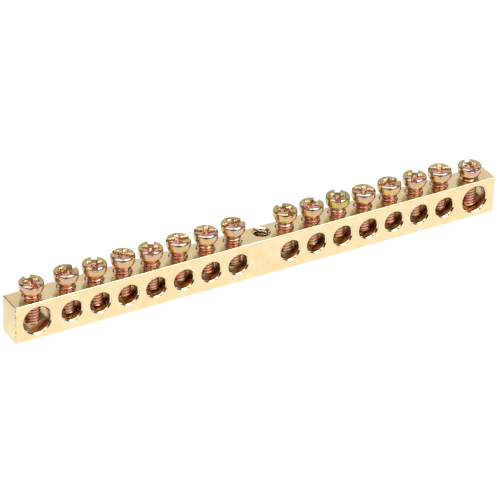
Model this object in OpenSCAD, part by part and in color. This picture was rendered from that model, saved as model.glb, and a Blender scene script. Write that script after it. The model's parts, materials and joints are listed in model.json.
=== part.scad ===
// Earth terminal bar: a drawn brass bar, cross-drilled for the conductors, with a clamping screw
// over every conductor hole and a tapped fixing hole through its middle.
// The origin is in the middle of the bar's foot: +X runs along the bar, the conductors go in
// along Y, and the screws stand up along +Z. All sizes are in millimetres.

/* [Bar] */
// Depth of the bar, along the conductors
bar_depth = 6; // [5:0.1:10]
// Height of the bar
bar_height = 9; // [8.6:0.1:14]
// Bevel along the bar's four drawn edges
edge_bevel = 0.2; // [0.05:0.05:0.4]
// Distance from the outermost conductor hole's axis to the sawn end
end_margin = 5.2; // [4.2:0.1:12]

/* [Conductor holes] */
// Small conductor holes on each side of the fixing hole
small_holes_per_side = 7; // [1:1:12]
// Distance between neighbouring small holes
hole_pitch = 6.8; // [6.2:0.1:12]
// Distance from the outermost small hole to the large hole at the end
end_pitch = 8.2; // [7.2:0.1:15]
// Distance between the two small holes on either side of the fixing hole
middle_pitch = 13.2; // [12:0.1:24]
// Diameter of the small holes
small_hole_d = 4.6; // [4.4:0.1:5]
// Diameter of the large hole at each end
large_hole_d = 6.3; // [5.2:0.1:6.5]
// Height of every hole's axis over the foot
hole_height = 4.5; // [4:0.1:5]
// Bevel at both mouths of every conductor hole
mouth_bevel = 0.3; // [0.1:0.05:0.4]

/* [Fixing hole] */
// Tapping drill of the fixing hole
fixing_drill_d = 3.3; // [2.5:0.1:4.2]
// Depth of the countersink at both ends of the fixing hole
fixing_countersink = 0.5; // [0.1:0.05:0.8]
// How far the fixing hole lies from the bar's middle, along the bar
fixing_along = 0.9; // [-2:0.1:2]
// How far the fixing hole lies behind the bar's middle plane
fixing_across = 0.45; // [-0.5:0.05:0.5]

/* [Screw thread] */
// Diameter of the screws' thread
screw_d = 4; // [3:0.1:4.2]
// Radial clearance between a screw and its tapped hole
thread_clearance = 0.05; // [0.01:0.01:0.1]
// Length of the bevel at a screw's tip
tip_bevel = 0.85; // [0.2:0.05:1]
// Bevel at the mouth of a tapped hole
tapped_mouth_bevel = 0.2; // [0.05:0.05:0.5]
// Gap between a screw's tip and the floor of its hole when it is screwed home
tip_gap = 0.05; // [0.02:0.01:0.3]
// Gap between head and bar when the screw in a large hole is screwed home
head_gap = 0.45; // [0.2:0.05:4]

/* [Screw head] */
// Diameter of the head
head_d = 5.5; // [5:0.1:6]
// Height of the head's upright side, from the bowl up to the rounded rim
head_side = 0.7; // [0.2:0.05:1.5]
// Radius of the bowl under the head
bowl_r = 1.7; // [1.2:0.05:2.4]
// Radius of the rounded rim
rim_r = 0.6; // [0.1:0.05:0.8]

/* [Driver recess] */
// Width of the slot across the head
slot_width = 1.25; // [0.8:0.05:1.6]
// Depth of the slot
slot_depth = 1; // [0.4:0.05:1.2]
// Width of each wing of the cross recess
cross_width = 1.1; // [0.6:0.05:1.2]
// Reach of the cross recess over the head's face, from tip to tip
cross_reach = 4; // [2.6:0.1:4.4]
// Reach of the cross recess at its floor
cross_floor = 1.8; // [1:0.1:2.4]
// Depth of the cross recess
cross_depth = 1.7; // [1.25:0.05:1.9]

/* [Hidden] */
$fn = 64;
overcut = 1;
screws_per_side = small_holes_per_side + 1;
screw_count = 2 * screws_per_side;

// Distance of each conductor hole from the bar's middle, on one side and then along the whole bar
side_x = concat([for (i = [0 : small_holes_per_side - 1]) middle_pitch / 2 + i * hole_pitch],
                [middle_pitch / 2 + (small_holes_per_side - 1) * hole_pitch + end_pitch]);
hole_x = concat([for (i = [screws_per_side - 1 : -1 : 0]) -side_x[i]], side_x);
bar_length = 2 * (side_x[screws_per_side - 1] + end_margin);

// A screw's section: its tip is beveled at 45 degrees
shank_r = screw_d / 2 - thread_clearance;
tip_r = shank_r - tip_bevel;
head_r = head_d / 2;
bowl_rise = sqrt(bowl_r ^ 2 - (shank_r - head_r + bowl_r) ^ 2);
head_height = bowl_rise + head_side + rim_r;
home_large = home_height(large_hole_d);
shank_length = bar_height + head_gap - home_large;
head_top = shank_length + head_height;

// How far each screw is backed off from home, and how far its slot is turned from the bar's length
backed_off = [0.65, 0.05, 0, 0.3, 0.1, 0.3, 0.45, 0.65, 0.6, 0.25, 0.5, 0.1, 0.3, 0.3, 0.15, 0.1];
slot_turn = [85, 22, 65, 130, 62, 169, 147, 7, 88, 34, 61, 142, 3, 54, 152, 73];

// terminal_screw_01 is at the bar's -X end
function screw_name(i) = str("terminal_screw_", i < 10 ? "0" : "", i);

// The outermost hole at each end is the large one
function hole_d(i) = i == 0 || i == screw_count - 1 ? large_hole_d : small_hole_d;

// Height of a screw's tip when its edge is just over the floor of a hole of diameter d
function home_height(d) = hole_height - sqrt((d / 2) ^ 2 - tip_r ^ 2) + tip_gap;

// The drawn section, sawn to length
module bar_blank() {
    y = bar_depth / 2;
    translate([-bar_length / 2, 0, 0])
        rotate([90, 0, 90])
            linear_extrude(bar_length)
                polygon([
                    [edge_bevel - y, 0], [y - edge_bevel, 0],
                    [y, edge_bevel], [y, bar_height - edge_bevel],
                    [y - edge_bevel, bar_height], [edge_bevel - y, bar_height],
                    [-y, bar_height - edge_bevel], [-y, edge_bevel]
                ]);
}

// A bore of radius r and length l about Z, centred, with a 45 degree bevel at both mouths
module beveled_bore(r, l, bevel) {
    end = l / 2 + overcut;
    flare = r + bevel + overcut;
    rotate_extrude()
        polygon([
            [0, -end], [flare, -end], [r, bevel - l / 2],
            [r, l / 2 - bevel], [flare, end], [0, end]
        ]);
}

module conductor_hole(d) {
    translate([0, 0, hole_height])
        rotate([90, 0, 0])
            beveled_bore(d / 2, bar_depth, mouth_bevel);
}

// A tapped hole from the top of the bar down into the conductor hole
module tapped_hole() {
    r = screw_d / 2;
    rotate_extrude()
        polygon([
            [0, hole_height], [r, hole_height], [r, bar_height - tapped_mouth_bevel],
            [r + tapped_mouth_bevel + overcut, bar_height + overcut], [0, bar_height + overcut]
        ]);
}

module fixing_hole() {
    translate([fixing_along, fixing_across, bar_height / 2])
        beveled_bore(fixing_drill_d / 2, bar_height, fixing_countersink);
}

module bar() {
    color("#e6c887")
        difference() {
            bar_blank();
            fixing_hole();
            for (i = [0 : screw_count - 1])
                translate([hole_x[i], 0, 0]) {
                    conductor_hole(hole_d(i));
                    tapped_hole();
                }
        }
}

// Half of a screw's section: the beveled shank, the bowl, the upright side and the rounded rim
module screw_section() {
    side_bottom = shank_length + bowl_rise;
    rim_bottom = side_bottom + head_side;
    polygon([[0, 0], [tip_r, 0], [shank_r, tip_bevel], [shank_r, side_bottom], [0, side_bottom]]);
    translate([0, side_bottom])
        square([head_r, head_side]);
    translate([0, rim_bottom])
        square([head_r - rim_r, rim_r]);
    translate([head_r - rim_r, rim_bottom])
        intersection() {
            circle(rim_r);
            square(rim_r);
        }
    translate([head_r - bowl_r, side_bottom])
        intersection() {
            circle(bowl_r);
            translate([0, -bowl_rise])
                square([bowl_r, bowl_rise]);
        }
}

// One pair of wings of the cross recess, narrower at the floor than at the head's face
module cross_wings() {
    rotate([90, 0, 0])
        linear_extrude(cross_width, center = true)
            polygon([
                [-cross_floor / 2, -cross_depth], [cross_floor / 2, -cross_depth],
                [cross_reach / 2, 0], [cross_reach / 2, overcut],
                [-cross_reach / 2, overcut], [-cross_reach / 2, 0]
            ]);
}

module driver_recess() {
    translate([-head_d, -slot_width / 2, -slot_depth])
        cube([2 * head_d, slot_width, slot_depth + overcut]);
    cross_wings();
    rotate([0, 0, 90])
        cross_wings();
}

module terminal_screw(i) {
    home = home_height(hole_d(i));
    color("#cfa58c")
        translate([hole_x[i], 0, home + backed_off[i % len(backed_off)]])
            rotate([0, 0, slot_turn[i % len(slot_turn)]])
                difference() {
                    rotate_extrude()
                        screw_section();
                    translate([0, 0, head_top])
                        driver_recess();
                }
}

bar();
for (i = [0 : screw_count - 1])
    terminal_screw(i);
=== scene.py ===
"""Earth terminal bar: the looks of a drilled brass bar and its sixteen passivated clamping screws.

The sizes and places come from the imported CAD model. The bar is a drawn blank that a node tree
drills, and each screw is a turned head that a node tree threads, recesses and sets in its hole.
"""

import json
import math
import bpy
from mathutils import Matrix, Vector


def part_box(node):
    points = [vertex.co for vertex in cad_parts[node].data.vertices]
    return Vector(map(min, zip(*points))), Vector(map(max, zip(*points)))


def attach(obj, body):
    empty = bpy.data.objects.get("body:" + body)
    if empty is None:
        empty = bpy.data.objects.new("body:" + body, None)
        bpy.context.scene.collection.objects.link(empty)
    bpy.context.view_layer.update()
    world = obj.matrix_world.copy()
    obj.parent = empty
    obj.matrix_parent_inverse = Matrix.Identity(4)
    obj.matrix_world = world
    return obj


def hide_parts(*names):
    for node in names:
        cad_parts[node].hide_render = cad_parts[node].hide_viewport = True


bl_info = {
    "name": "Earth terminal bar",
    "version": (1, 0, 0),
    "blender": (4, 5, 0),
    "location": "3D View > Sidebar > Terminal bar",
    "description": "Makes a drilled brass earth bar with its clamping screws, and a stage for it",
    "category": "Add Mesh",
}

import bpy
import numpy as np
from bpy.props import FloatProperty, FloatVectorProperty, IntProperty, PointerProperty
from mathutils import Matrix, Vector

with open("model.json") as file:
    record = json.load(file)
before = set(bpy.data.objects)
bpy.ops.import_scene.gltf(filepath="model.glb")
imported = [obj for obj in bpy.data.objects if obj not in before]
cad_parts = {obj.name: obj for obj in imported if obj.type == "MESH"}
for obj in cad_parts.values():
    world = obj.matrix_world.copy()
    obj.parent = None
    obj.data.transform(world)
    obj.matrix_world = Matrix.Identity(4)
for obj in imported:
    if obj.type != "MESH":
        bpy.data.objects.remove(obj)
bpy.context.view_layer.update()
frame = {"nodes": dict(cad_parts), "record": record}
MM = 0.001


def corners(node):
    """Lowest and highest corner of a CAD node at rest."""
    low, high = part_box(node)
    return Vector(low), Vector(high)


# Places and sizes that the CAD model fixes
BAR_LOW, BAR_HIGH = corners("bar")
MOUNTS = {mount["name"]: mount for mount in frame["record"]["mounts"]}
CONDUCTOR_HOLES = [MOUNTS[name] for name in sorted(MOUNTS) if name.startswith("conductor_")]
FIXING_HOLE = MOUNTS["fixing_hole"]
SCREW_NODES = sorted(name for name in frame["nodes"] if name.startswith("terminal_screw_"))
SCREW_LOW, SCREW_HIGH = corners(SCREW_NODES[0])
SCREW_LENGTH = SCREW_HIGH.z - SCREW_LOW.z
HEAD_DIAMETER = SCREW_HIGH.y - SCREW_LOW.y
MOUTH_BEVEL = (BAR_HIGH.y - BAR_LOW.y - CONDUCTOR_HOLES[0]["dims"]["length_mm"] * MM) / 2
COUNTERSINK = (BAR_HIGH.z - BAR_LOW.z - FIXING_HOLE["dims"]["length_mm"] * MM) / 2

ROUND_SEGMENTS = 96
ROWS_PER_TURN = 12
WELD_DISTANCE = 1.5e-6
OVERCUT = 1.0 * MM
OFF_PLANE = 0.001 * MM
COLUMN_WIDTH, ROW_HEIGHT = 220, 200
BAR_CREASE, SCREW_CREASE = 30, 40
FEWEST_BAR_FACES, FEWEST_SCREW_FACES = 1000, 5000
FLOAT, INT, VECTOR = "NodeSocketFloat", "NodeSocketInt", "NodeSocketVector"
GEOMETRY, MATERIAL, OBJECT = "NodeSocketGeometry", "NodeSocketMaterial", "NodeSocketObject"

# Screws by number, from other batches with a thicker or thinner film
FILM_SHIFTS = {3: 0.03, 4: -0.04, 7: -0.02, 9: 0.05, 11: 0.26, 13: 0.05, 14: 0.06, 16: -0.04}


def length(name, description, millimetres):
    """A size that a user may change, in Blender's length units."""
    return FloatProperty(
        name=name, description=description, default=millimetres * MM, min=0, unit="LENGTH",
        precision=5,
    )


def angle(name, description, degrees):
    """An angle that a user may change."""
    return FloatProperty(
        name=name, description=description, default=math.radians(degrees), subtype="ANGLE"
    )


def amount(name, description, default, unit="NONE"):
    """Another number that a user may change."""
    return FloatProperty(name=name, description=description, default=default, min=0, unit=unit)


class BarSettings(bpy.types.PropertyGroup):
    """Sizes and finish of the brass bar."""

    edge_radius: length("Edge radius", "Radius of the bar's four drawn edges", 0.2)
    saw_break: length("End break", "Bevel round the sawn ends", 0.05)
    tapped_diameter: length("Tapped hole", "Diameter of the holes that the screws run in", 4.0)
    tapped_bevel: length("Tapped mouth bevel", "Bevel at the mouth of a tapped hole", 0.2)
    thread_pitch: length("Fixing thread pitch", "Pitch of the thread in the fixing hole", 0.7)
    thread_depth: length("Fixing thread depth", "Depth of the thread in the fixing hole", 0.35)
    brass: FloatVectorProperty(
        name="Brass", description="Colour of the clean brass", subtype="COLOR",
        default=(0.93, 0.77, 0.49), min=0, max=1,
    )


class ScrewSettings(bpy.types.PropertyGroup):
    """Sizes and finish of the clamping screws."""

    thread_diameter: length("Thread diameter", "Diameter over the thread's crests", 3.9)
    thread_pitch: length("Thread pitch", "Pitch of the screw thread", 0.7)
    thread_depth: length("Thread depth", "Depth of the screw thread", 0.38)
    drift_direction: angle("Drift direction", "Side on which the screws' film is thinnest", -118)
    film_drift: amount("Film drift", "How much thicker the film is away from that side", 0.26)
    tapped_phase: amount("Tapped phase", "Where round a hole its thread starts, in turns", 0.53)
    tip_bevel: length("Tip bevel", "Length of the bevel at the tip", 0.85)
    neck: length("Neck", "Length of the plain neck between thread and head", 0.25)
    head_side: length("Head side", "Height of the head's upright side", 0.7)
    bowl_radius: length("Bowl radius", "Radius of the bowl under the head", 1.7)
    rim_radius: length("Rim radius", "Radius of the head's rounded rim", 0.6)
    slot_width: length("Slot width", "Width of the slot at its floor", 1.25)
    slot_depth: length("Slot depth", "Depth of the slot", 1.0)
    cross_reach: length("Cross reach", "Reach of the cross recess from tip to tip", 4.0)
    cross_width: length("Cross width", "Width of a wing of the cross recess", 1.1)
    cross_depth: length("Cross depth", "Depth of the cross recess", 1.7)
    seed: IntProperty(name="Seed", description="Start of the plating's variation", default=4)


class StageSettings(bpy.types.PropertyGroup):
    """Camera, floor and light."""

    target: FloatVectorProperty(
        name="Target", description="Point in the middle of the view", subtype="TRANSLATION",
        default=(-2.08 * MM, 0, 5.4 * MM),
    )
    azimuth: angle("Azimuth", "Turn of the camera round the bar", -30.75)
    elevation: angle("Elevation", "Height of the camera over the horizon", 31.52)
    roll: angle("Roll", "Turn of the camera about its own axis", 1.89)
    distance: length("Distance", "Distance of the camera from its target", 621.5)
    focal_length: amount("Focal length", "Focal length of the lens", 202.6, "CAMERA")
    floor_size: length("Floor size", "Side of the square floor", 3000)
    softbox_size: length("Softbox size", "Side of the square lamp overhead", 500)
    softbox_power: amount("Softbox power", "Power of the lamp overhead", 3.0, "POWER")


# ---------------------------------------------------------------- node trees


class Nodes:
    """Adds nodes to a tree and links them, each column right of what feeds it."""

    def __init__(self, tree):
        self.tree = tree
        self.columns = {}
        self.filled = {}

    def add(self, kind, inputs=(), **settings):
        """A new node. inputs are values or sockets, by place or by name."""
        node = self.tree.nodes.new(kind)
        for name, value in settings.items():
            setattr(node, name, value)
        column = 0
        pairs = inputs.items() if isinstance(inputs, dict) else enumerate(inputs)
        for key, value in pairs:
            for source in value if isinstance(value, list) else [value]:
                if isinstance(source, bpy.types.NodeSocket):
                    self.tree.links.new(source, node.inputs[key])
                    column = max(column, self.columns[source.node.name] + 1)
                else:
                    node.inputs[key].default_value = source
        self.columns[node.name] = column
        row = self.filled.get(column, 0)
        self.filled[column] = row + 1
        node.location = (COLUMN_WIDTH * column, -ROW_HEIGHT * row)
        return node

    def math(self, operation, *values):
        """The operation on up to two values, and then on each further one in turn."""
        result = self.add("ShaderNodeMath", values[:2], operation=operation).outputs[0]
        for value in values[2:]:
            result = self.math(operation, result, value)
        return result

    def plus(self, *values):
        return self.math("ADD", *values)

    def minus(self, first, second):
        return self.math("SUBTRACT", first, second)

    def times(self, *values):
        return self.math("MULTIPLY", *values)

    def least(self, *values):
        return self.math("MINIMUM", *values)

    def most(self, *values):
        return self.math("MAXIMUM", *values)

    def absolute(self, value):
        """The value without its sign."""
        return self.math("ABSOLUTE", value)

    def reach(self, x, y):
        """Distance of the point (x, y) from the origin."""
        return self.math("SQRT", self.plus(self.times(x, x), self.times(y, y)))

    def vector(self, operation, *values):
        places = ("Vector", "Scale") if operation == "SCALE" else (0, 1)
        node = self.add("ShaderNodeVectorMath", dict(zip(places, values)), operation=operation)
        return node.outputs["Value" if operation == "DOT_PRODUCT" else "Vector"]

    def map(self, value, low, high, to_low=0.0, to_high=1.0, style="LINEAR"):
        """The value's place between low and high, as one between to_low and to_high."""
        inputs = (value, low, high, to_low, to_high)
        return self.add("ShaderNodeMapRange", inputs, interpolation_type=style).outputs[0]

    def ease(self, *values):
        """A map with a soft start and end."""
        return self.map(*values, style="SMOOTHSTEP")

    def mix(self, factor, first, second):
        """Mixes colours, each a socket or red, green and blue."""
        colours = ((*colour, 1) if isinstance(colour, tuple) else colour
                   for colour in (first, second))
        inputs = dict(zip((0, 6, 7), (factor, *colours)))
        return self.add("ShaderNodeMix", inputs, data_type="RGBA").outputs[2]

    def noise(self, vector, scale, detail=2.0, roughness=0.5, distortion=0.0):
        return self.add("ShaderNodeTexNoise", {
            "Vector": vector, "Scale": scale, "Detail": detail, "Roughness": roughness,
            "Distortion": distortion}).outputs[0]

    def ramp(self, value, stops):
        """A colour for each value, between stops of (value, colour)."""
        node = self.add("ShaderNodeValToRGB", (value,))
        elements = node.color_ramp.elements
        while len(elements) < len(stops):
            elements.new(0.5)
        for element, (place, colour) in zip(elements, stops):
            element.position = place
            element.color = (*colour, 1)
        return node.outputs[0]

    def split(self, vector):
        return self.add("ShaderNodeSeparateXYZ", (vector,)).outputs

    def join(self, x, y, z):
        return self.add("ShaderNodeCombineXYZ", (x, y, z)).outputs[0]

    def position(self):
        """Where each point or face of the geometry lies."""
        return self.add("GeometryNodeInputPosition").outputs[0]

    def shape_of(self, source):
        """The mesh of an object."""
        return self.add("GeometryNodeObjectInfo", {"Object": source}).outputs["Geometry"]

    def welded(self, geometry):
        return self.add("GeometryNodeMergeByDistance", {
            "Geometry": geometry, "Distance": WELD_DISTANCE}).outputs[0]

    def flipped(self, mesh):
        return self.add("GeometryNodeFlipFaces", (mesh,)).outputs[0]

    def realized(self, geometry):
        return self.add("GeometryNodeRealizeInstances", (geometry,)).outputs[0]

    def disc(self, radius):
        """A round face about Z that looks up."""
        return self.add("GeometryNodeMeshCircle", {
            "Vertices": ROUND_SEGMENTS, "Radius": radius}, fill_type="NGON").outputs[0]

    def rod(self, thread, **inputs):
        """A threaded rod from the thread's group. An input's name has _ for each space."""
        named = {name.replace("_", " "): value for name, value in inputs.items()}
        return self.add("GeometryNodeGroup", {
            **named, "Segments": ROUND_SEGMENTS, "Rows per turn": ROWS_PER_TURN,
        }, node_tree=thread).outputs[0]

    def joined(self, *parts):
        """The parts as one mesh, welded where they meet."""
        whole = self.add("GeometryNodeJoinGeometry", {"Geometry": list(parts)})
        return self.welded(whole.outputs[0])

    def moved(self, geometry, place, turn=(0, 0, 0)):
        return self.add("GeometryNodeTransform", {
            "Geometry": geometry, "Translation": place, "Rotation": turn}).outputs[0]

    def cut(self, mesh, cutter):
        return self.add("GeometryNodeMeshBoolean", {"Mesh 1": mesh, "Mesh 2": cutter},
                        operation="DIFFERENCE", solver="MANIFOLD").outputs["Mesh"]

    def stored(self, geometry, name, value, kind="FLOAT"):
        """The geometry with the value kept on its points."""
        return self.add("GeometryNodeStoreNamedAttribute", {
            "Geometry": geometry, "Name": name, "Value": value},
            data_type=kind, domain="POINT").outputs[0]

    def finished(self, geometry, material, selection=True):
        return self.add("GeometryNodeSetMaterial", {
            "Geometry": geometry, "Selection": selection, "Material": material}).outputs[0]

    def metal(self, colour, rough, height, strength, distance):
        """A metal's shader and output. The bump's height is in distances, in millimetres."""
        bump = self.add("ShaderNodeBump", {
            "Strength": strength, "Distance": distance * MM, "Height": height})
        shader = self.add("ShaderNodeBsdfPrincipled", {
            "Metallic": 1.0, "Base Color": colour, "Roughness": rough,
            "Normal": bump.outputs[0]})
        self.add("ShaderNodeOutputMaterial", {"Surface": shader.outputs[0]})


def new_group(kind, name, inputs, outputs):
    """A node group with sockets, whose names are listed by type. Returns Nodes and inputs."""
    tree = bpy.data.node_groups.new(name, kind)
    for side, sockets in (("INPUT", inputs), ("OUTPUT", outputs)):
        for socket_type, labels in sockets.items():
            for label in labels:
                tree.interface.new_socket(label, in_out=side, socket_type=socket_type)
    nodes = Nodes(tree)
    return nodes, nodes.add("NodeGroupInput").outputs


def new_tree(data, name):
    """A material or world with an empty node tree. Returns it and its Nodes."""
    block = data.new(name)
    block.use_nodes = True
    block.node_tree.nodes.clear()
    return block, Nodes(block.node_tree)


def helical_thread():
    """Node group: an open threaded rod about Z, from 0 up, whose rows follow the helix."""
    nodes, size = new_group(
        "GeometryNodeTree", "Helical thread",
        {FLOAT: ("Crest radius", "Thread depth", "Pitch", "Length", "Start radius",
                 "End radius", "Plain end", "Phase"),
         INT: ("Segments", "Rows per turn")},
        {GEOMETRY: ("Mesh",)},
    )
    turns = nodes.math("CEIL", nodes.math("DIVIDE", size["Length"], size["Pitch"]))
    turns = nodes.plus(turns, 1.0)
    rows = nodes.plus(nodes.times(turns, size["Rows per turn"]), 1.0)
    columns = nodes.plus(size["Segments"], 1.0)
    grid = nodes.add("GeometryNodeMeshGrid", (1.0, 1.0, rows, columns)).outputs["Mesh"]
    along, around, _ = nodes.split(nodes.position())
    along = nodes.times(nodes.plus(along, 0.5), turns)
    around = nodes.plus(around, 0.5)
    height = nodes.times(nodes.minus(nodes.plus(along, around), 1.0), size["Pitch"])
    height = nodes.least(nodes.most(height, 0.0), size["Length"])

    # The flanks fall from the crest to the root, and the rod tapers at its start and its end
    phase = nodes.minus(nodes.math("DIVIDE", height, size["Pitch"]), around)
    phase = nodes.math("FRACT", nodes.plus(phase, size["Phase"]))
    flank = nodes.ease(nodes.absolute(nodes.minus(phase, 0.5)), 0.04, 0.4)
    radius = nodes.minus(size["Crest radius"], nodes.times(flank, size["Thread depth"]))
    start = nodes.plus(size["Start radius"], height)
    threaded = nodes.minus(size["Length"], size["Plain end"])
    end = nodes.plus(size["End radius"], nodes.most(nodes.minus(threaded, height), 0.0))
    radius = nodes.least(radius, start, end)
    angle = nodes.times(around, math.tau)
    position = nodes.join(
        nodes.times(radius, nodes.math("COSINE", angle)),
        nodes.times(radius, nodes.math("SINE", angle)),
        height,
    )
    rod = nodes.add("GeometryNodeSetPosition", {"Geometry": grid, "Position": position})
    nodes.add("NodeGroupOutput", {"Mesh": nodes.flipped(nodes.welded(rod.outputs[0]))})
    return nodes.tree


def bar_tree(thread):
    """Node tree: drills the blank at each drill's points and gives each face its brass."""
    nodes, size = new_group(
        "GeometryNodeTree", "Drilled bar",
        {GEOMETRY: ("Blank",),
         OBJECT: ("Drill 1", "Holes 1", "Drill 2", "Holes 2", "Drill 3", "Holes 3",
                  "Fixing drill"),
         FLOAT: ("Crest radius", "Thread depth", "Pitch", "Foot", "Height", "Depth",
                 "Half length", "Edge"),
         VECTOR: ("Tap place",),
         MATERIAL: ("Drawn brass", "Bored brass")},
        {GEOMETRY: ("Bar",)},
    )
    cutters = []
    for number in (1, 2, 3):
        placed = nodes.add("GeometryNodeInstanceOnPoints", {
            "Points": nodes.shape_of(size[f"Holes {number}"]),
            "Instance": nodes.shape_of(size[f"Drill {number}"])})
        cutters.append(nodes.realized(placed.outputs[0]))
    cutters.append(nodes.shape_of(size["Fixing drill"]))

    core = nodes.minus(size["Crest radius"], size["Thread depth"])
    rod_length = nodes.plus(size["Height"], 2 * OVERCUT)
    rod = nodes.rod(
        thread, Crest_radius=size["Crest radius"], Thread_depth=size["Thread depth"],
        Pitch=size["Pitch"], Length=rod_length, Start_radius=core, End_radius=core)
    top = nodes.moved(nodes.disc(core), nodes.join(0.0, 0.0, rod_length))
    tap = nodes.joined(rod, nodes.flipped(nodes.disc(core)), top)
    cutters.append(nodes.moved(tap, size["Tap place"]))

    bar = size["Blank"]
    for cutter in cutters:
        bar = nodes.cut(bar, cutter)
    bar = nodes.welded(bar)

    # A face is bored when its middle lies neither on an outer plane nor on a drawn edge
    x, y, z = nodes.split(nodes.position())
    off_x = nodes.minus(size["Half length"], nodes.absolute(x))
    off_y = nodes.minus(nodes.times(size["Depth"], 0.5), nodes.absolute(y))
    off_foot = nodes.minus(z, size["Foot"])
    off_top = nodes.minus(nodes.plus(size["Foot"], size["Height"]), z)
    off_z = nodes.least(off_foot, off_top)
    inside = nodes.math("GREATER_THAN", nodes.least(off_x, off_y, off_z), OFF_PLANE)
    past_edge = nodes.math("GREATER_THAN", nodes.most(off_y, off_z), size["Edge"])
    past_end = nodes.math("GREATER_THAN", off_x, size["Edge"])
    bored = nodes.times(inside, past_edge, past_end)

    drawn = nodes.finished(nodes.realized(bar), size["Drawn brass"])
    nodes.add("NodeGroupOutput", {"Bar": nodes.finished(drawn, size["Bored brass"], bored)})
    return nodes.tree


def screw_tree(thread):
    """Node tree: threads a turned head, cuts its recess and sets the screw in its hole."""
    nodes, size = new_group(
        "GeometryNodeTree", "Clamping screw",
        {GEOMETRY: ("Head",),
         OBJECT: ("Recess", "Cross"),
         FLOAT: ("Crest radius", "Thread depth", "Pitch", "Length", "Tip radius", "Neck radius",
                 "Neck", "Thread phase", "Turn", "Batch", "Film", "Film drift",
                 "Drift direction"),
         VECTOR: ("Place",),
         MATERIAL: ("Plating",)},
        {GEOMETRY: ("Screw",)},
    )
    rod = nodes.rod(
        thread, Crest_radius=size["Crest radius"], Thread_depth=size["Thread depth"],
        Pitch=size["Pitch"], Length=size["Length"], Start_radius=size["Tip radius"],
        End_radius=size["Neck radius"], Plain_end=size["Neck"], Phase=size["Thread phase"])
    tip = nodes.flipped(nodes.disc(size["Tip radius"]))
    body = nodes.joined(size["Head"], rod, tip)
    for label in ("Recess", "Cross"):
        body = nodes.cut(body, nodes.shape_of(size[label]))

    # The plating's pattern follows each screw's own coordinates, in millimetres from its tip
    own = nodes.vector("SCALE", nodes.position(), 1 / MM)
    body = nodes.stored(body, "screw_place", own, "FLOAT_VECTOR")
    x, y, _ = nodes.split(own)
    around = nodes.plus(nodes.math("ARCTAN2", y, x), size["Turn"])
    away = nodes.math("COSINE", nodes.minus(around, size["Drift direction"]))
    away = nodes.ease(away, 0.8, 0.0)
    film = nodes.plus(size["Film"], nodes.times(size["Film drift"], away))
    body = nodes.stored(body, "screw_batch", size["Batch"])
    body = nodes.stored(body, "screw_film", film)
    seated = nodes.moved(body, size["Place"], nodes.join(0.0, 0.0, size["Turn"]))
    screw = nodes.finished(nodes.realized(seated), size["Plating"])
    nodes.add("NodeGroupOutput", {"Screw": screw})
    return nodes.tree


# ---------------------------------------------------------------- meshes


def mesh_object(name, points, faces):
    """A linked object with the mesh of these points and faces."""
    mesh = bpy.data.meshes.new(name)
    mesh.from_pydata([tuple(point) for point in points], [], faces)
    mesh.validate()
    piece = bpy.data.objects.new(name, mesh)
    bpy.context.scene.collection.objects.link(piece)
    return piece


def banded(name, loops, first_faces=()):
    """A mesh with a band of faces between neighbouring loops, and a face over the last one."""
    count = len(loops[0])
    points = [point for loop in loops for point in loop]
    faces = list(first_faces)
    for row in range(len(loops) - 1):
        for step in range(count):
            left, right = row * count + step, row * count + (step + 1) % count
            faces.append((left, right, right + count, left + count))
    faces.append(tuple(range(len(points) - count, len(points))))
    return mesh_object(name, points, faces)


def lofted(name, loops):
    """A closed mesh through loops of equal count, from the lowest to the highest."""
    return banded(name, loops, [tuple(reversed(range(len(loops[0]))))])


def revolved(name, profile, axis="Z", closed=True):
    """A turned mesh. profile holds (radius, height) from the lowest to the highest."""
    loops = []
    for radius, height in profile:
        loop = []
        for step in range(ROUND_SEGMENTS):
            angle = math.tau * step / ROUND_SEGMENTS
            x, y = radius * math.cos(angle), radius * math.sin(angle)
            loop.append((x, y, height) if axis == "Z" else (x, height, -y))
        loops.append(loop)
    return lofted(name, loops) if closed else banded(name, loops)


def round_rectangle(half_x, half_y, corner, height, steps=6):
    """Points of a level rectangle with round corners, anticlockwise."""
    loop = []
    for turn, (side_x, side_y) in enumerate(((1, 1), (-1, 1), (-1, -1), (1, -1))):
        middle_x, middle_y = side_x * (half_x - corner), side_y * (half_y - corner)
        for step in range(steps + 1):
            angle = math.radians(90) * (turn + step / steps)
            loop.append((middle_x + corner * math.cos(angle),
                         middle_y + corner * math.sin(angle), height))
    return loop


def drill(name, radius, depth, bevel):
    """A drill about Y, with a 45 degree countersink at both ends that starts softly."""
    end = depth / 2 + OVERCUT
    flare = radius + bevel + OVERCUT
    half = depth / 2 - bevel
    soft = bevel * 0.15
    inner = [(radius, half - soft), (radius + soft * 0.3, half), (radius + soft, half + soft)]
    outer = [*inner, (flare, end)]
    profile = [(r, -y) for r, y in reversed(outer)] + outer
    return revolved(name, profile, axis="Y")


def bar_blank(settings):
    """The drawn section with round edges, sawn to length."""
    low, high, edge = BAR_LOW, BAR_HIGH, settings.edge_radius
    middle_y, middle_z = (low.y + high.y) / 2, (low.z + high.z) / 2

    def section(x, inset):
        half_y, half_z = (high.y - low.y) / 2 - inset, (high.z - low.z) / 2 - inset
        loop = round_rectangle(half_y, half_z, edge - inset, 0)
        return [(x, middle_y + y, middle_z + z) for y, z, _ in loop]

    saw = settings.saw_break
    return lofted("bar_blank", [
        section(low.x, saw), section(low.x + saw, 0),
        section(high.x - saw, 0), section(high.x, saw),
    ])


def shade(mesh, crease):
    """Smooth shading, with an edge where the faces turn by more than crease, in degrees."""
    mesh.shade_smooth()
    mesh.set_sharp_from_angle(angle=math.radians(crease))


def evaluated_mesh(source):
    """The plain mesh that source's modifiers make."""
    bpy.context.view_layer.update()
    return bpy.data.meshes.new_from_object(
        source.evaluated_get(bpy.context.evaluated_depsgraph_get()))


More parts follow.
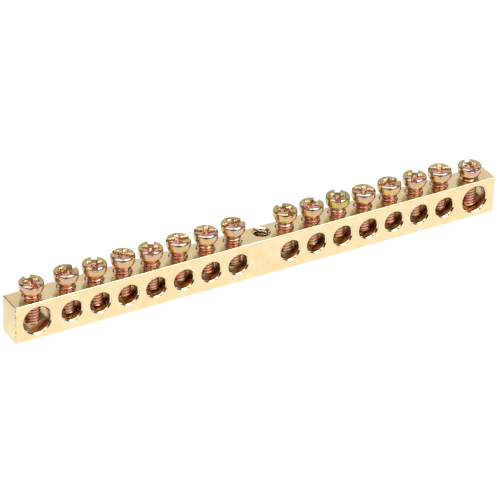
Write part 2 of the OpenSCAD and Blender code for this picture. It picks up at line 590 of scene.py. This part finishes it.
def finished_piece(name, source, crease):
    """Turns source's modifiers into a plain piece with even normals, and removes source."""
    raw = evaluated_mesh(source)
    bpy.data.objects.remove(source)
    shade(raw, crease)
    piece = bpy.data.objects.new(name, raw)
    bpy.context.scene.collection.objects.link(piece)
    piece.modifiers.new("Even normals", "WEIGHTED_NORMAL").keep_sharp = True
    final = evaluated_mesh(piece)
    piece.modifiers.clear()
    piece.data = final
    bpy.data.meshes.remove(raw)
    final.name = name
    return piece


def grow(source, tree, values):
    """Puts the tree on source as a modifier, with its inputs set by identifier."""
    modifier = source.modifiers.new(tree.name, "NODES")
    modifier.node_group = tree
    sockets = {item.name: item.identifier for item in tree.interface.items_tree
               if item.in_out == "INPUT"}
    for label, value in values.items():
        modifier[sockets[label]] = value


def head_profile(settings):
    """Radii and heights of the head, from the neck up to its flat face."""
    rim, bowl = settings.rim_radius, settings.bowl_radius
    radius = HEAD_DIAMETER / 2
    side_top = SCREW_LENGTH - rim
    side_bottom = side_top - settings.head_side
    neck = neck_radius(settings)
    first = math.acos((neck - radius + bowl) / bowl)
    bowl_steps, rim_steps = 14, 8
    profile = []
    for step in range(bowl_steps + 1):
        angle = first * (1 - step / bowl_steps)
        profile.append((radius - bowl + bowl * math.cos(angle),
                        side_bottom - bowl * math.sin(angle)))
    for step in range(rim_steps + 1):
        angle = math.radians(90) * step / rim_steps
        profile.append((radius - rim + rim * math.cos(angle),
                        side_top + rim * math.sin(angle)))
    return profile


def neck_radius(settings):
    """The neck is as thick as the thread's core."""
    return settings.thread_diameter / 2 - settings.thread_depth


def slot_cutter(settings):
    """The driver slot, with a filleted floor and rounded shoulders."""
    half, depth = settings.slot_width / 2, settings.slot_depth
    reach = HEAD_DIAMETER
    # Height over the head's face, and how much wider each side is there, in millimetres
    rows = [(-depth, -0.12), (-depth * 0.95, -0.05), (-depth * 0.85, 0), (-0.34 * MM, 0.02),
            (-0.2 * MM, 0.06), (-0.1 * MM, 0.12), (-0.03 * MM, 0.21), (0, 0.29),
            (0.5 * MM, 1.1)]
    loops = []
    for height, wider in rows:
        side = half + wider * MM
        z = SCREW_LENGTH + height
        loops.append([(-reach, -side, z), (reach, -side, z), (reach, side, z),
                      (-reach, side, z)])
    return lofted("slot_cutter", loops)


def cross_cutter(settings):
    """The cross recess: two tapered pairs of wings, joined."""
    reach, half = settings.cross_reach / 2, settings.cross_width / 2
    # Height over the head's face, and the wings' reach and width there as shares of the full ones
    rows = [(-settings.cross_depth, 0.38, 0.62), (-settings.cross_depth * 0.94, 0.46, 0.8),
            (-0.5 * MM, 0.84, 1.02), (-0.28 * MM, 0.9, 1.14), (-0.13 * MM, 0.95, 1.3),
            (-0.04 * MM, 1.0, 1.48), (0, 1.05, 1.7), (0.5 * MM, 1.4, 3.4)]
    wings = []
    for turned in (False, True):
        loops = []
        for height, along, across in rows:
            loop = round_rectangle(reach * along, half * across, half * across * 0.7,
                                   SCREW_LENGTH + height)
            if turned:
                loop = [(-y, x, z) for x, y, z in loop]
            loops.append(loop)
        wings.append(lofted("cross_wings", loops))
    first, second = wings
    union = first.modifiers.new("Union", "BOOLEAN")
    union.operation, union.solver, union.object = "UNION", "MANIFOLD", second
    mesh = evaluated_mesh(first)
    first.modifiers.clear()
    first.data = mesh
    bpy.data.objects.remove(second)
    first.name = "cross_cutter"
    return first


def slot_direction(node, settings):
    """Turn of a screw's slot, from the CAD model's slot floor where it meets the rim."""
    low, high = corners(node)
    middle = (low + high) / 2
    mesh = frame["nodes"][node].data
    points = np.empty(len(mesh.vertices) * 3)
    mesh.vertices.foreach_get("co", points)
    points = points.reshape(-1, 3) - (middle.x, middle.y, high.z - settings.slot_depth)
    far = np.hypot(points[:, 0], points[:, 1]) > 0.9 * HEAD_DIAMETER / 2
    floor = points[far & (abs(points[:, 2]) < 0.01 * MM)]
    doubled = 2 * np.arctan2(floor[:, 1], floor[:, 0])
    return math.atan2(np.sin(doubled).mean(), np.cos(doubled).mean()) / 2


# ---------------------------------------------------------------- finishes


def fine_marks():
    """Shader group: fine lines drawn along one way, and speckle, from places in millimetres."""
    nodes, size = new_group(
        "ShaderNodeTree", "Fine marks",
        {VECTOR: ("Place", "Line density"), FLOAT: ("Speckle density", "Speckle share")},
        {FLOAT: ("Lines", "Speckle", "Cloud")},
    )
    stretched = nodes.vector("MULTIPLY", size["Place"], size["Line density"])
    lines = nodes.noise(stretched, 1.0, 3.0, 0.6)
    grains = nodes.noise(size["Place"], size["Speckle density"], 2.0, 0.6)
    threshold = nodes.minus(0.8, nodes.times(size["Speckle share"], 0.4))
    speckle = nodes.ease(grains, threshold, nodes.plus(threshold, 0.08))
    cloud = nodes.noise(size["Place"], 0.35, 3.0, 0.55, 0.4)
    nodes.add("NodeGroupOutput", {"Lines": lines, "Speckle": speckle, "Cloud": cloud})
    return nodes.tree


def marked(nodes, marks, place, line_density, speckle_density, speckle_share):
    """Lines, speckle and cloud of the fine marks at place."""
    return nodes.add("ShaderNodeGroup", {
        "Place": place, "Line density": line_density, "Speckle density": speckle_density,
        "Speckle share": speckle_share}, node_tree=marks).outputs


def object_place(nodes):
    """Object coordinates in millimetres."""
    place = nodes.add("ShaderNodeTexCoord").outputs["Object"]
    return nodes.vector("SCALE", place, 1 / MM)


def drawn_brass(settings, marks):
    """Drawn and sawn faces: satin, faintly streaked, with small brown spots."""
    material, nodes = new_tree(bpy.data.materials, "drawn brass")
    place = object_place(nodes)
    lines, speckle, cloud = marked(nodes, marks, place, (0.5, 7.0, 7.0), 2.6, 0.3)
    x, y, z = nodes.split(place)
    clean = tuple(settings.brass)
    warm = (clean[0], clean[1] * 0.93, clean[2] * 0.80)
    colour = nodes.mix(nodes.map(cloud, 0.38, 0.62), clean, warm)
    colour = nodes.mix(nodes.times(speckle, 0.28), colour, (0.42, 0.22, 0.09))

    # The sawn ends are duller and darker towards their top, with a dark line of painted shade along
    # their top edge and brown spots along the upright ones
    from_end = nodes.minus(BAR_HIGH.x / MM, nodes.absolute(x))
    from_side = nodes.minus(BAR_HIGH.y / MM, nodes.absolute(y))
    from_top = nodes.minus(BAR_HIGH.z / MM, z)
    at_end = nodes.ease(from_end, 0.2, 0.04)
    patches = nodes.noise(place, 1.6, 3.0, 0.6)
    painted_top_edge_shade = nodes.times(nodes.ease(from_top, 0.26, 0.1),
                           nodes.map(patches, 0.38, 0.52, 0.55, 1.0))
    side_spots = nodes.times(nodes.ease(from_side, 0.25, 0.1), nodes.map(patches, 0.54, 0.6))
    dark_edging = nodes.times(at_end, nodes.most(painted_top_edge_shade, side_spots))
    dull = nodes.times(at_end, nodes.map(from_top, 7.0, 0.0, 0.1, 0.5))
    colour = nodes.mix(dull, colour, (0.62, 0.52, 0.38))
    # The dark line along the top edge is painted shade; the spots are the metal's own
    colour = nodes.mix(nodes.times(dark_edging, 0.8), colour, (0.12, 0.065, 0.03))

    # Painted highlight: the long edges of the top are made pale
    painted_edge_highlight = nodes.times(nodes.map(from_top, 0.24, 0.18), nodes.map(from_side, 0.24, 0.18),
                       nodes.map(at_end, 0.0, 1.0, 1.0, 0.0))
    colour = nodes.mix(nodes.times(painted_edge_highlight, 0.7), colour, (1.0, 0.93, 0.74))

    rough = nodes.plus(
        nodes.map(cloud, 0.2, 0.8, 0.2, 0.26), nodes.times(lines, 0.06),
        nodes.times(at_end, 0.1), nodes.times(painted_edge_highlight, 0.07), nodes.times(dark_edging, 0.3))
    height = nodes.plus(lines, nodes.times(speckle, -0.8))
    nodes.metal(colour, rough, height, 0.35, 0.004)
    return material


def bored_brass(settings, marks):
    """Drilled and tapped faces: darker and coppery inside the holes as painted shade, with fine
    rings round the drill's axis.
    """
    material, nodes = new_tree(bpy.data.materials, "bored brass")
    place = object_place(nodes)
    lines, speckle, cloud = marked(nodes, marks, place, (0.6, 9.0, 0.6), 3.2, 0.2)
    x, y, z = nodes.split(place)
    clean = tuple(settings.brass)
    # Painted shade: the walls get darker, coppery copies of the brass
    copper = (clean[0] * 0.76, clean[1] * 0.69, clean[2] * 0.62)
    brown = (clean[0] * 0.68, clean[1] * 0.57, clean[2] * 0.52)
    walls = nodes.mix(nodes.map(cloud, 0.35, 0.65), copper, brown)
    walls = nodes.mix(nodes.times(speckle, 0.25), walls, (0.25, 0.12, 0.06))

    # The floors of the small holes are darkened with painted shade, and those of the large holes at
    # the ends aren't
    half, height = BAR_HIGH.x / MM, BAR_HIGH.z / MM
    painted_floor_shade = nodes.times(nodes.map(z, 3.5, 2.7, 0.0, 0.35),
                          nodes.map(nodes.absolute(x), half - 9, half - 10))
    walls = nodes.mix(painted_floor_shade, walls, (0.26, 0.14, 0.06))

    # The mouths' bevels lie within their depth of the front and the back. They keep the clean
    # brass, and so do the tops of the tapped holes and the fixing hole, while the darker walls
    # below carry painted shade
    from_side = nodes.minus(BAR_HIGH.y / MM, nodes.absolute(y))
    bevel = nodes.ease(from_side, MOUTH_BEVEL / MM + 0.06, MOUTH_BEVEL / MM)
    upper = nodes.map(z, height - 1.2, height - 0.4)
    off_x, off_y = (nodes.minus(along, middle / MM)
                    for along, middle in zip((x, y), FIXING_HOLE["pos_m"]))
    fixing = nodes.map(nodes.absolute(off_x), 2.6, 2.4)
    bright = nodes.most(bevel, upper, fixing)
    colour = nodes.mix(bright, walls, clean)

    # The fixing hole's thread is darkened in its grooves with painted shade
    painted_groove_shade = nodes.times(nodes.map(nodes.reach(off_x, off_y), 1.72, 1.86),
                         nodes.map(z, height - 0.4, height - 0.5), fixing)
    colour = nodes.mix(nodes.times(painted_groove_shade, 0.85), colour, (0.16, 0.07, 0.02))
    dark_edging = nodes.ease(from_side, 0.1, 0.03, 0.0, 0.6)
    colour = nodes.mix(dark_edging, colour, (0.32, 0.19, 0.09))
    rough = nodes.times(nodes.map(lines, 0.3, 0.7, 0.16, 0.3),
                        nodes.map(bright, 0.0, 1.0, 1.0, 0.5))
    nodes.metal(colour, rough, lines, 0.3, 0.003)
    return material


def plating(settings, marks):
    """Iridescent yellow passivate: pink bowls, gold to olive faces and sides, a reddish thread,
    painted shade in the thread's roots and the recess, and a painted highlight along the rim.
    """
    material, nodes = new_tree(bpy.data.materials, "iridescent passivate")
    place, batch, own_film = (
        nodes.add("ShaderNodeAttribute", attribute_name=name).outputs[output]
        for name, output in (("screw_place", "Vector"), ("screw_batch", "Fac"),
                             ("screw_film", "Fac")))
    lines, speckle, _ = marked(nodes, marks, place, (1.2, 1.2, 6.0), 4.0, 0.3)
    x, y, z = nodes.split(place)
    radial = nodes.reach(x, y)
    crest = settings.thread_diameter / 2 / MM
    root = crest - settings.thread_depth / MM
    tip_height = settings.tip_bevel / MM * 1.1
    across = HEAD_DIAMETER / MM
    top = SCREW_LENGTH / MM
    side_low = (SCREW_LENGTH - settings.head_side - settings.rim_radius) / MM

    # Film thickness: drifts over each screw, thinner on the face and thicker at the bowl's foot
    shifted = nodes.vector("ADD", place, nodes.join(
        nodes.times(batch, 7.3), nodes.times(batch, -4.1), batch))
    drift = nodes.noise(shifted, 0.5, 2.0, 0.5, 0.6)
    fine = nodes.noise(shifted, 1.9, 3.0, 0.6, 0.8)
    film = nodes.plus(
        drift, nodes.times(nodes.minus(fine, 0.5), 0.35), own_film,
        nodes.ease(z, top - 0.5, top - 0.15, -0.06, -0.1),
        nodes.ease(z, side_low - 0.1, side_low - 1.05, 0.0, 0.3))
    head = nodes.ramp(film, [
        (0.22, (0.50, 0.53, 0.42)), (0.32, (0.62, 0.43, 0.36)), (0.44, (0.69, 0.42, 0.29)),
        (0.56, (0.70, 0.47, 0.21)), (0.66, (0.64, 0.48, 0.14)), (0.78, (0.50, 0.43, 0.12)),
        (0.92, (0.38, 0.39, 0.13)),
    ])
    # Painted highlight: paler along the rim
    painted_rim_highlight = nodes.times(nodes.ease(z, top - 0.55, top - 0.35),
                         nodes.ease(z, top - 0.02, top - 0.12), 0.4)
    head = nodes.mix(painted_rim_highlight, head, (0.74, 0.68, 0.56))
    # Painted shade: the thread is darker and redder in its roots than on its crests
    in_thread = nodes.map(radial, root, crest)
    shank = nodes.plus(in_thread, nodes.times(nodes.minus(film, 0.5), 0.5))
    shank = nodes.ramp(shank, [
        (0.0, (0.50, 0.14, 0.11)), (0.35, (0.62, 0.24, 0.18)), (0.7, (0.78, 0.48, 0.36)),
        (1.0, (0.84, 0.62, 0.46)),
    ])
    shank = nodes.mix(nodes.ease(z, tip_height, 0.0), shank, (0.95, 0.62, 0.28))
    is_head = nodes.ease(z, side_low - 1.5, side_low - 1.3)
    colour = nodes.mix(is_head, shank, head)

    # The recess is stamped and crumpled, and painted reddish brown as shade that deepens towards
    # its floor
    recess = nodes.times(nodes.ease(z, top - 0.03, top - 0.22),
                         nodes.ease(radial, across * 0.43, across * 0.38),
                         nodes.map(z, side_low - 0.5, side_low - 0.4))
    brown = nodes.times(recess, nodes.map(radial, 1.6, 2.3, 0.85, 0.35),
                        nodes.ease(z, top - 0.25, top - 0.7, 0.25, 1.0))
    colour = nodes.mix(brown, colour, (0.58, 0.29, 0.22))
    colour = nodes.mix(nodes.times(speckle, 0.35), colour, (0.30, 0.16, 0.10))
    rough = nodes.map(fine, 0.3, 0.7, 0.08, 0.2)
    crumple = nodes.times(nodes.noise(shifted, 1.7, 2.0, 0.5, 0.4), is_head, recess,
                          nodes.map(z, top - 0.6, top - 0.1, 4.2, 1.1))
    height = nodes.plus(nodes.times(fine, 0.14), crumple, nodes.times(lines, 0.03))
    nodes.metal(colour, rough, height, 1.0, 0.1)
    return material


def floor_paint():
    """Pale floor: white to the camera, with the bar's soft shadow, and clear to reflections."""
    material, nodes = new_tree(bpy.data.materials, "pale floor")
    paths = nodes.add("ShaderNodeLightPath").outputs
    matte = nodes.add("ShaderNodeBsdfDiffuse", {"Color": (0.22, 0.22, 0.22, 1)})
    glow = nodes.add("ShaderNodeEmission", {"Color": (1, 1, 1, 1), "Strength": 0.82})
    seen = nodes.add("ShaderNodeAddShader", (matte.outputs[0], glow.outputs[0]))
    plain = nodes.add("ShaderNodeBsdfDiffuse", {"Color": (0.8, 0.8, 0.8, 1)})
    shown = nodes.add("ShaderNodeMixShader", (
        paths["Is Camera Ray"], plain.outputs[0], seen.outputs[0]))
    clear = nodes.add("ShaderNodeBsdfTransparent")
    done = nodes.add("ShaderNodeMixShader", (
        paths["Is Glossy Ray"], shown.outputs[0], clear.outputs[0]))
    nodes.add("ShaderNodeOutputMaterial", {"Surface": done.outputs[0]})
    return material


def studio():
    """The world: white to the camera, and a sweep, softboxes and dark gaps round the bar."""
    world, nodes = new_tree(bpy.data.worlds, "studio")
    way = nodes.vector("NORMALIZE", nodes.add("ShaderNodeTexCoord").outputs["Generated"])
    up = nodes.split(way)[2]

    def along(direction):
        """Cosine of the angle from direction, which has length 1."""
        return nodes.vector("DOT_PRODUCT", way, direction)

    def patch(direction, full, edge):
        """1 inside the angle full from direction, 0 beyond edge, both in degrees."""
        inner, outer = math.cos(math.radians(full)), math.cos(math.radians(edge))
        return nodes.ease(along(tuple(Vector(direction).normalized())), outer, inner)

    # The sweep: the floor all round, and behind the bar a wall that ends over it
    floor = nodes.ease(up, -0.24, -0.08, 1.12, 0.0)
    behind = nodes.ease(along((0.511, 0.859, 0.0)), 0.3, 0.54)
    wall = nodes.times(behind, nodes.ease(up, 0.16, 0.3), nodes.ease(up, 0.58, 0.84, 0.84, 0.2))

    # A strip light over the front, from the left round to the right, with a gap beside the
    # softbox, and the dark room under it round the camera
    aside = nodes.absolute(along((0.9, -0.42, 0.0)))
    strip = nodes.times(nodes.ease(up, 0.52, 0.58), nodes.ease(up, 0.93, 0.86),
                        nodes.ease(aside, 0.66, 0.54),
                        nodes.ease(along((-0.42, -0.9, 0.0)), 0.0, 0.1),
                        nodes.minus(1.0, patch((-0.2, -0.66, 0.72), 4, 9)), 2.0)
    level = nodes.most(floor, wall, 0.14, strip)
    dark = patch((-0.45, -0.88, 0.1), 25, 36)
    level = nodes.times(level, nodes.minus(1.0, nodes.times(dark, 0.96)))
    for direction, full, edge, strength in (
        ((0.435, -0.52, 0.73), 18, 27, 1.2), ((-0.56, -0.68, 0.48), 4, 8, 0.8),
        ((-0.87, 0.0, 0.5), 12, 20, 1.7), ((0.3, -0.81, 0.5), 8, 15, 1.7),
        ((-0.2, 0.1, 1.0), 16, 28, 1.5),
    ):
        level = nodes.most(level, nodes.times(patch(direction, full, edge), strength))
    tint = nodes.mix(nodes.map(up, -0.2, 0.4), (1.0, 1.0, 1.0), (1.0, 0.965, 0.97))
    room = nodes.add("ShaderNodeBackground", {"Color": tint, "Strength": level})
    white = nodes.add("ShaderNodeBackground", {"Color": (1, 1, 1, 1), "Strength": 1.0})
    camera = nodes.add("ShaderNodeLightPath").outputs["Is Camera Ray"]
    shown = nodes.add("ShaderNodeMixShader", (camera, room.outputs[0], white.outputs[0]))
    nodes.add("ShaderNodeOutputWorld", {"Surface": shown.outputs[0]})
    return world


# ---------------------------------------------------------------- operators


class TERMINAL_OT_make_bar(bpy.types.Operator):
    """Drill and finish the brass bar"""

    bl_idname = "terminal.make_bar"
    bl_label = "Make bar"

    def execute(self, context):
        settings = context.scene.terminal_bar
        marks = bpy.data.node_groups.get("Fine marks") or fine_marks()
        thread = bpy.data.node_groups.get("Helical thread") or helical_thread()
        depth, height = BAR_HIGH.y - BAR_LOW.y, BAR_HIGH.z - BAR_LOW.z

        narrow, wide = sorted({hole["dims"]["r_mm"] for hole in CONDUCTOR_HOLES})
        level = CONDUCTOR_HOLES[0]["pos_m"][2]
        rows = {narrow: [], wide: []}
        for hole in CONDUCTOR_HOLES:
            rows[hole["dims"]["r_mm"]].append((hole["pos_m"][0], 0, level))
        tapped = settings.tapped_diameter / 2
        flare = tapped + settings.tapped_bevel + OVERCUT
        drills = [
            drill("small_drill", narrow * MM, depth, MOUTH_BEVEL),
            drill("large_drill", wide * MM, depth, MOUTH_BEVEL),
            revolved("tapping_drill", [
                (tapped, level), (tapped, BAR_HIGH.z - settings.tapped_bevel),
                (flare, BAR_HIGH.z + OVERCUT)]),
        ]
        holes = [
            mesh_object("small_holes", rows[narrow], []),
            mesh_object("large_holes", rows[wide], []),
            mesh_object("tapped_holes", [
                (hole["pos_m"][0], 0, 0) for hole in CONDUCTOR_HOLES], []),
        ]
        core = FIXING_HOLE["dims"]["r_mm"] * MM
        mouth = core + COUNTERSINK + OVERCUT
        fixing = revolved("fixing_drill", [
            (mouth, BAR_LOW.z - OVERCUT), (core, BAR_LOW.z + COUNTERSINK),
            (core, BAR_HIGH.z - COUNTERSINK), (mouth, BAR_HIGH.z + OVERCUT)])
        x, y, _ = FIXING_HOLE["pos_m"]
        fixing.data.transform(Matrix.Translation((x, y, 0)))
        blank = bar_blank(settings)
        grow(blank, bar_tree(thread), {
            "Drill 1": drills[0], "Holes 1": holes[0], "Drill 2": drills[1],
            "Holes 2": holes[1], "Drill 3": drills[2], "Holes 3": holes[2],
            "Fixing drill": fixing, "Crest radius": core + settings.thread_depth,
            "Thread depth": settings.thread_depth, "Pitch": settings.thread_pitch,
            "Tap place": (x, y, BAR_LOW.z - OVERCUT), "Foot": BAR_LOW.z, "Height": height,
            "Depth": depth, "Half length": BAR_HIGH.x, "Edge": settings.edge_radius,
            "Drawn brass": drawn_brass(settings, marks),
            "Bored brass": bored_brass(settings, marks),
        })
        bar = finished_piece("brass_bar", blank, BAR_CREASE)
        for helper in (*drills, *holes, fixing):
            bpy.data.objects.remove(helper)
        if len(bar.data.polygons) < FEWEST_BAR_FACES:
            raise RuntimeError("The bar was not drilled")
        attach(bar, "bar")
        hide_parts("bar")
        return {"FINISHED"}


class TERMINAL_OT_make_screws(bpy.types.Operator):
    """Thread, recess and place the clamping screws"""

    bl_idname = "terminal.make_screws"
    bl_label = "Make screws"

    def execute(self, context):
        settings = context.scene.terminal_screws
        marks = bpy.data.node_groups.get("Fine marks") or fine_marks()
        thread = bpy.data.node_groups.get("Helical thread") or helical_thread()
        tree = screw_tree(thread)
        finish = plating(settings, marks)
        slot, cross = slot_cutter(settings), cross_cutter(settings)
        profile = head_profile(settings)
        for number, node in enumerate(SCREW_NODES, start=1):
            low, high = corners(node)
            turn = slot_direction(node, settings)
            # A screw's thread lies in its hole's thread, and every hole is tapped alike
            phase = settings.tapped_phase + low.z / settings.thread_pitch - turn / math.tau
            phase = round(phase * ROWS_PER_TURN) / ROWS_PER_TURN
            head = revolved(f"head_{number:02d}", profile, closed=False)
            grow(head, tree, {
                "Recess": slot, "Cross": cross, "Crest radius": settings.thread_diameter / 2,
                "Thread depth": settings.thread_depth, "Pitch": settings.thread_pitch,
                "Length": profile[0][1],
                "Tip radius": settings.thread_diameter / 2 - settings.tip_bevel,
                "Neck radius": neck_radius(settings), "Neck": settings.neck,
                "Thread phase": phase, "Turn": turn, "Film drift": settings.film_drift,
                "Drift direction": settings.drift_direction,
                "Place": ((low.x + high.x) / 2, (low.y + high.y) / 2, low.z),
                "Batch": float(settings.seed + number), "Film": FILM_SHIFTS.get(number, 0.0),
                "Plating": finish,
            })
            screw = finished_piece(f"clamping_screw_{number:02d}", head, SCREW_CREASE)
            if len(screw.data.polygons) < FEWEST_SCREW_FACES:
                raise RuntimeError(f"{screw.name} was not made whole")
            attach(screw, f"screw_{number:02d}")
            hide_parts(node)
        for helper in (slot, cross):
            bpy.data.objects.remove(helper)
        return {"FINISHED"}


class TERMINAL_OT_make_stage(bpy.types.Operator):
    """Set the floor, the light and the camera"""

    bl_idname = "terminal.make_stage"
    bl_label = "Make stage"

    def execute(self, context):
        settings = context.scene.terminal_stage
        half = settings.floor_size / 2
        floor = mesh_object("floor", [
            (-half, -half, 0), (half, -half, 0), (half, half, 0), (-half, half, 0)],
            [(0, 1, 2, 3)])
        floor.data.materials.append(floor_paint())

        lamp = bpy.data.lights.new("overhead softbox", "AREA")
        lamp.size, lamp.energy = settings.softbox_size, settings.softbox_power
        light = bpy.data.objects.new("overhead_softbox", lamp)
        light.matrix_world = looking((0.25, -0.35, 0.75), (0, 0, 0), 0)
        context.scene.collection.objects.link(light)
        context.scene.world = studio()

        target = Vector(settings.target)
        level = math.cos(settings.elevation) * settings.distance
        place = target + Vector((
            math.sin(settings.azimuth) * level, -math.cos(settings.azimuth) * level,
            math.sin(settings.elevation) * settings.distance))
        lens = bpy.data.cameras.new("camera")
        lens.sensor_width, lens.lens = 36, settings.focal_length
        lens.clip_start, lens.clip_end = 0.01, 20
        camera = bpy.data.objects.new("camera", lens)
        camera.matrix_world = looking(place, target, settings.roll)
        context.scene.collection.objects.link(camera)
        context.scene.camera = camera
        context.scene.view_settings.view_transform = "Standard"
        return {"FINISHED"}


def looking(place, target, roll):
    """The matrix of a camera or lamp at place that looks at target."""
    back = (Vector(place) - Vector(target)).normalized()
    right = Vector((0, 0, 1)).cross(back).normalized()
    up = back.cross(right)
    turned = (right * math.cos(roll) + up * math.sin(roll)), (
        up * math.cos(roll) - right * math.sin(roll))
    matrix = Matrix((turned[0], turned[1], back)).transposed().to_4x4()
    matrix.translation = place
    return matrix


class TERMINAL_PT_panel(bpy.types.Panel):
    """Shows the settings of the bar, the screws and the stage, each with the button that makes it
    """

    bl_label = "Earth terminal bar"
    bl_idname = "TERMINAL_PT_panel"
    bl_space_type = "VIEW_3D"
    bl_region_type = "UI"
    bl_category = "Terminal bar"

    def draw(self, context):
        layout = self.layout
        for settings, operator in (
            (context.scene.terminal_bar, TERMINAL_OT_make_bar),
            (context.scene.terminal_screws, TERMINAL_OT_make_screws),
            (context.scene.terminal_stage, TERMINAL_OT_make_stage),
        ):
            box = layout.box()
            for name in settings.__annotations__:
                box.prop(settings, name)
            box.operator(operator.bl_idname)


CLASSES = (
    BarSettings, ScrewSettings, StageSettings, TERMINAL_OT_make_bar, TERMINAL_OT_make_screws,
    TERMINAL_OT_make_stage, TERMINAL_PT_panel,
)


def register():
    for item in CLASSES:
        bpy.utils.register_class(item)
    bpy.types.Scene.terminal_bar = PointerProperty(type=BarSettings)
    bpy.types.Scene.terminal_screws = PointerProperty(type=ScrewSettings)
    bpy.types.Scene.terminal_stage = PointerProperty(type=StageSettings)


def unregister():
    for name in ("terminal_bar", "terminal_screws", "terminal_stage"):
        delattr(bpy.types.Scene, name)
    for item in reversed(CLASSES):
        bpy.utils.unregister_class(item)


def main():
    """Makes the bar, its screws and the stage."""
    register()
    bpy.ops.terminal.make_stage()
    bpy.ops.terminal.make_bar()
    bpy.ops.terminal.make_screws()


if __name__ == "__main__":
    main()
